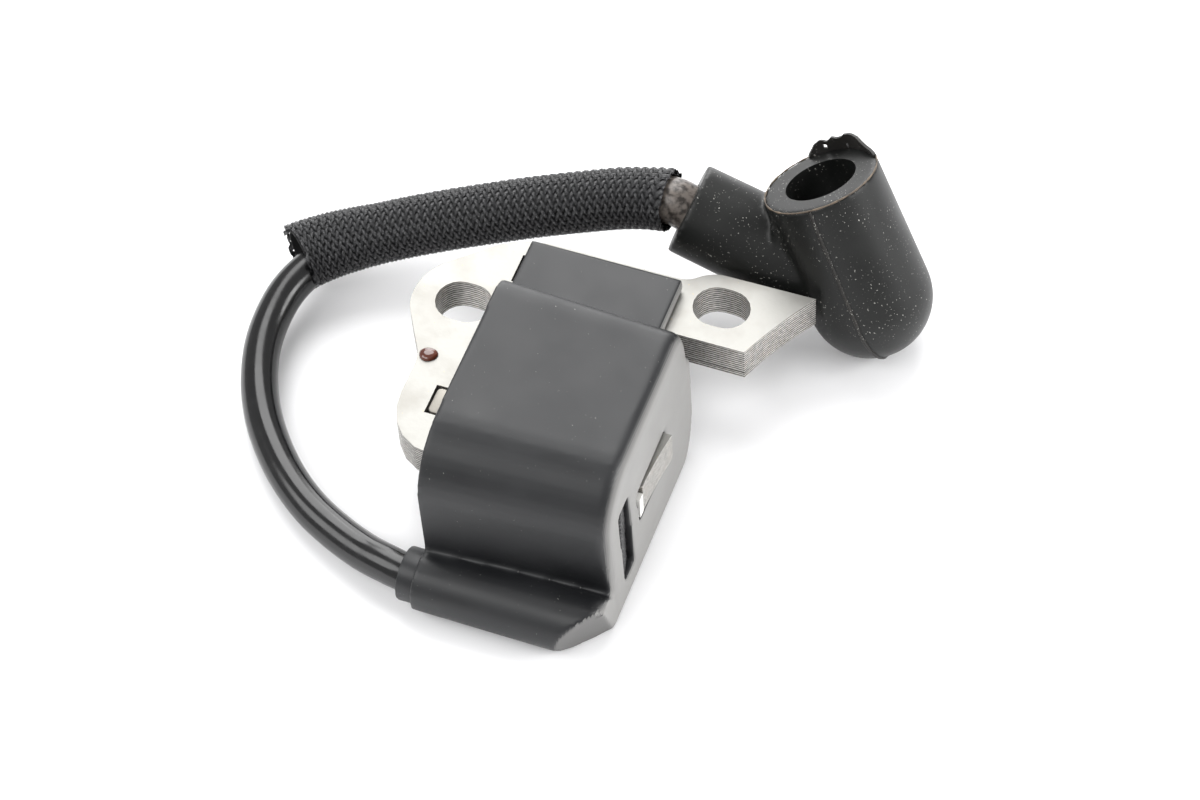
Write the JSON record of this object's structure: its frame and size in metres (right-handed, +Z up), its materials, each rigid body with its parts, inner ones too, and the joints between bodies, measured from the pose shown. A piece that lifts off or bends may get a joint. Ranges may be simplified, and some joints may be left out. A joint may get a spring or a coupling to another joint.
{
  "type": "ignition coil",
  "caption": "Small-engine ignition coil: laminated steel core with slotted ears, black moulded case, high tension lead with braided sleeve and angled rubber plug boot.",
  "frame": {"origin": "under the middle of the core and case, on the surface that the case's base and the cable boss stand on", "axes": "+X along the coil's axis towards the flywheel, +Y from the cable boss towards the ear with the pole face, +Z up through the sheets of the core"},
  "size_m": [0.0992, 0.0853, 0.0325],
  "materials": {
    "sheet_steel": "bright stamped electrical steel sheet with dull cut edges",
    "rivet_steel": "dull steel pin",
    "lacquer": "glossy red-brown locking lacquer",
    "case_plastic": "satin black moulded plastic",
    "resin": "rough black potting resin",
    "white_plastic": "white moulded plastic",
    "copper": "enamelled copper wire, wound close",
    "amber_plastic": "natural moulded plastic",
    "circuit_board": "green circuit board",
    "capacitor_film": "dipped film capacitor",
    "chip_plastic": "black epoxy package",
    "resistor_coat": "coated resistor",
    "brass": "turned brass",
    "collar_plastic": "dark grey satin plastic",
    "lead_rubber": "glossy black insulation",
    "braid": "black nylon braid",
    "milky_tube": "milky translucent tube",
    "boot_rubber": "matte black rubber with dust",
    "spring_steel": "bright spring wire"
  },
  "bodies": {
    "coil": {"core_lamination_01": "sheet_steel", "core_lamination_02": "sheet_steel", "core_lamination_03": "sheet_steel", "core_lamination_04": "sheet_steel", "core_lamination_05": "sheet_steel", "core_lamination_06": "sheet_steel", "core_lamination_07": "sheet_steel", "core_lamination_08": "sheet_steel", "core_lamination_09": "sheet_steel", "core_lamination_10": "sheet_steel", "core_lamination_11": "sheet_steel", "core_lamination_12": "sheet_steel", "core_rivet_front": "rivet_steel", "core_rivet_back": "rivet_steel", "varnish_drop": "lacquer", "housing": "case_plastic", "potting_compound": "resin", "primary_bobbin": "white_plastic", "primary_winding": "copper", "secondary_bobbin": "amber_plastic", "secondary_winding_1": "copper", "secondary_winding_2": "copper", "secondary_winding_3": "copper", "secondary_winding_4": "copper", "secondary_winding_5": "copper", "trigger_board": "circuit_board", "storage_capacitor": "capacitor_film", "thyristor": "chip_plastic", "rectifier_diode": "chip_plastic", "gate_resistor": "resistor_coat", "ht_terminal": "brass", "cable_collar": "collar_plastic", "ht_lead": "lead_rubber", "braided_sleeve": "braid", "clear_tube": "milky_tube", "lead_spike": "spring_steel"},
    "boot": {"plug_boot": "boot_rubber", "plug_spring": "spring_steel"}
  },
  "joints": [
    {"name": "boot_twist", "type": "hinge", "parent": "coil", "child": "boot", "pos_m": [0.0349, 0.04, 0.0096], "axis": [-0.9478, 0, 0.319], "range_deg": [-12, 40]}
  ]
}
